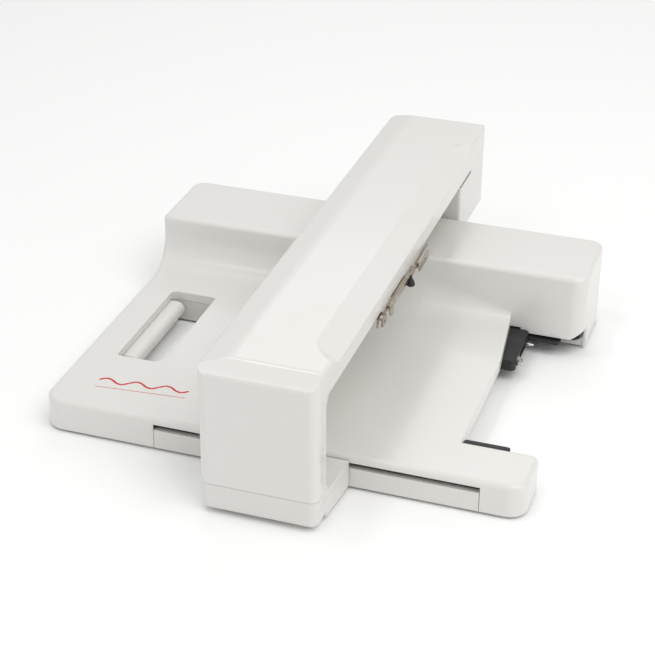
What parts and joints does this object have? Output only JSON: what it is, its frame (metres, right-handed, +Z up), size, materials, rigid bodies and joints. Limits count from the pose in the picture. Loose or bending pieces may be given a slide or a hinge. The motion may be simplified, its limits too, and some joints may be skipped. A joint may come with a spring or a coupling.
{
  "type": "embroidery module",
  "caption": "Docking embroidery module: flat table with a raised drive housing, an arm that travels sideways over it, and a hoop carriage that travels along the arm.",
  "frame": {"origin": "on the ground, at the centre of the outline seen from above", "axes": "+X to the right, towards the sewing machine's bed; +Y to the rear; +Z up"},
  "size_m": [0.48, 0.59, 0.16],
  "materials": {
    "white_gloss": "warm white, satin gloss",
    "white_satin": "warm white, satin",
    "tray_grey": "light grey, matte",
    "black_plastic": "black, fine grain",
    "rubber": "matte",
    "belt": "matte",
    "gold_contact": "gold flashed",
    "board_green": "solder mask",
    "chip_black": "moulded",
    "ribbon_grey": "ribbed",
    "steel": "ground",
    "nickel": "nickel plated",
    "dark_steel": "blackened",
    "motor_black": "semi-gloss",
    "alloy": "machined",
    "bronze": "sintered"
  },
  "bodies": {
    "base": {"top_cover": "white_gloss", "bottom_tray": "tray_grey", "base_screws": "dark_steel", "front_skirt": "white_satin", "slot_brush": "black_plastic", "rear_cover": "white_satin", "overhang_floor": "black_plastic", "rubber_feet": "rubber", "dock_housing": "black_plastic", "dock_contacts": "gold_contact", "dock_pins": "steel", "dock_bar": "black_plastic", "notch_strip": "black_plastic", "control_board": "board_green", "board_parts": "chip_black", "dock_ribbon": "ribbon_grey", "x_guide_rods": "steel", "x_rod_supports": "alloy", "x_motor": "motor_black", "x_motor_bracket": "steel", "x_idler_post": "black_plastic", "x_home_sensor": "black_plastic", "front_rail": "steel", "x_belt": "belt"},
    "release": {"release_lever": "white_satin", "release_link": "steel", "release_latch": "steel"},
    "x_drive": {"x_drive_pulley": "alloy"},
    "x_idler": {"x_idler_pulley": "alloy"},
    "arm": {"x_carriage": "alloy", "x_bushes": "bronze", "x_belt_clamp": "alloy", "rear_bracket": "steel", "arm_cover": "white_gloss", "toe_cover": "white_satin", "arm_liner": "white_satin", "rear_block_base": "white_satin", "front_tongue": "steel", "front_axle": "steel", "arm_frame": "steel", "y_guide_rods": "steel", "y_rod_supports": "alloy", "y_motor": "motor_black", "y_motor_bracket": "steel", "y_idler_post": "black_plastic", "arm_screws": "dark_steel", "y_belt": "belt"},
    "roller": {"front_roller": "steel"},
    "y_drive": {"y_drive_pulley": "alloy"},
    "y_idler": {"y_idler_pulley": "alloy"},
    "hoop_carriage": {"y_carriage": "black_plastic", "y_bushes": "bronze", "y_belt_clamp": "alloy", "hoop_neck": "steel", "hoop_bracket": "nickel", "bracket_screws": "dark_steel", "front_clip": "nickel", "rear_clip": "nickel", "hoop_pins": "dark_steel", "hoop_knob": "black_plastic"}
  },
  "joints": [
    {"name": "arm_slide", "type": "slide", "parent": "base", "child": "arm", "axis": [1, 0, 0], "range_m": [-0.078, 0.126]},
    {"name": "hoop_slide", "type": "slide", "parent": "arm", "child": "hoop_carriage", "axis": [0, 1, 0], "range_m": [-0.137, 0.253]},
    {"name": "release_slide", "type": "slide", "parent": "base", "child": "release", "axis": [-1, 0, 0], "range_m": [0, 0.006], "stiffness_N_per_m": 500, "springref_m": -0.004},
    {"name": "x_drive_spin", "type": "hinge", "parent": "base", "child": "x_drive", "pos_m": [-0.204, 0.135, 0.073], "axis": [0, 0, 1], "range_deg": [-640, 1030]},
    {"name": "x_idler_spin", "type": "hinge", "parent": "base", "child": "x_idler", "pos_m": [0.214, 0.135, 0.073], "axis": [0, 0, 1], "range_deg": [-640, 1030]},
    {"name": "y_drive_spin", "type": "hinge", "parent": "arm", "child": "y_drive", "pos_m": [-0.015, 0.263, 0.149], "axis": [0, 0, 1], "range_deg": [-1200, 2060]},
    {"name": "y_idler_spin", "type": "hinge", "parent": "arm", "child": "y_idler", "pos_m": [-0.015, -0.259, 0.149], "axis": [0, 0, 1], "range_deg": [-1200, 2060]},
    {"name": "roller_spin", "type": "hinge", "parent": "arm", "child": "roller", "pos_m": [0.0135, -0.197, 0.02], "axis": [0, 1, 0], "range_deg": [-1140, 1830]}
  ],
  "couplings": [
    {"joint": "x_drive_spin", "follows": "arm_slide", "rad_per_m": 139.86},
    {"joint": "x_idler_spin", "follows": "arm_slide", "rad_per_m": 139.86},
    {"joint": "roller_spin", "follows": "arm_slide", "rad_per_m": 250},
    {"joint": "y_drive_spin", "follows": "hoop_slide", "rad_per_m": 139.86},
    {"joint": "y_idler_spin", "follows": "hoop_slide", "rad_per_m": 139.86}
  ]
}
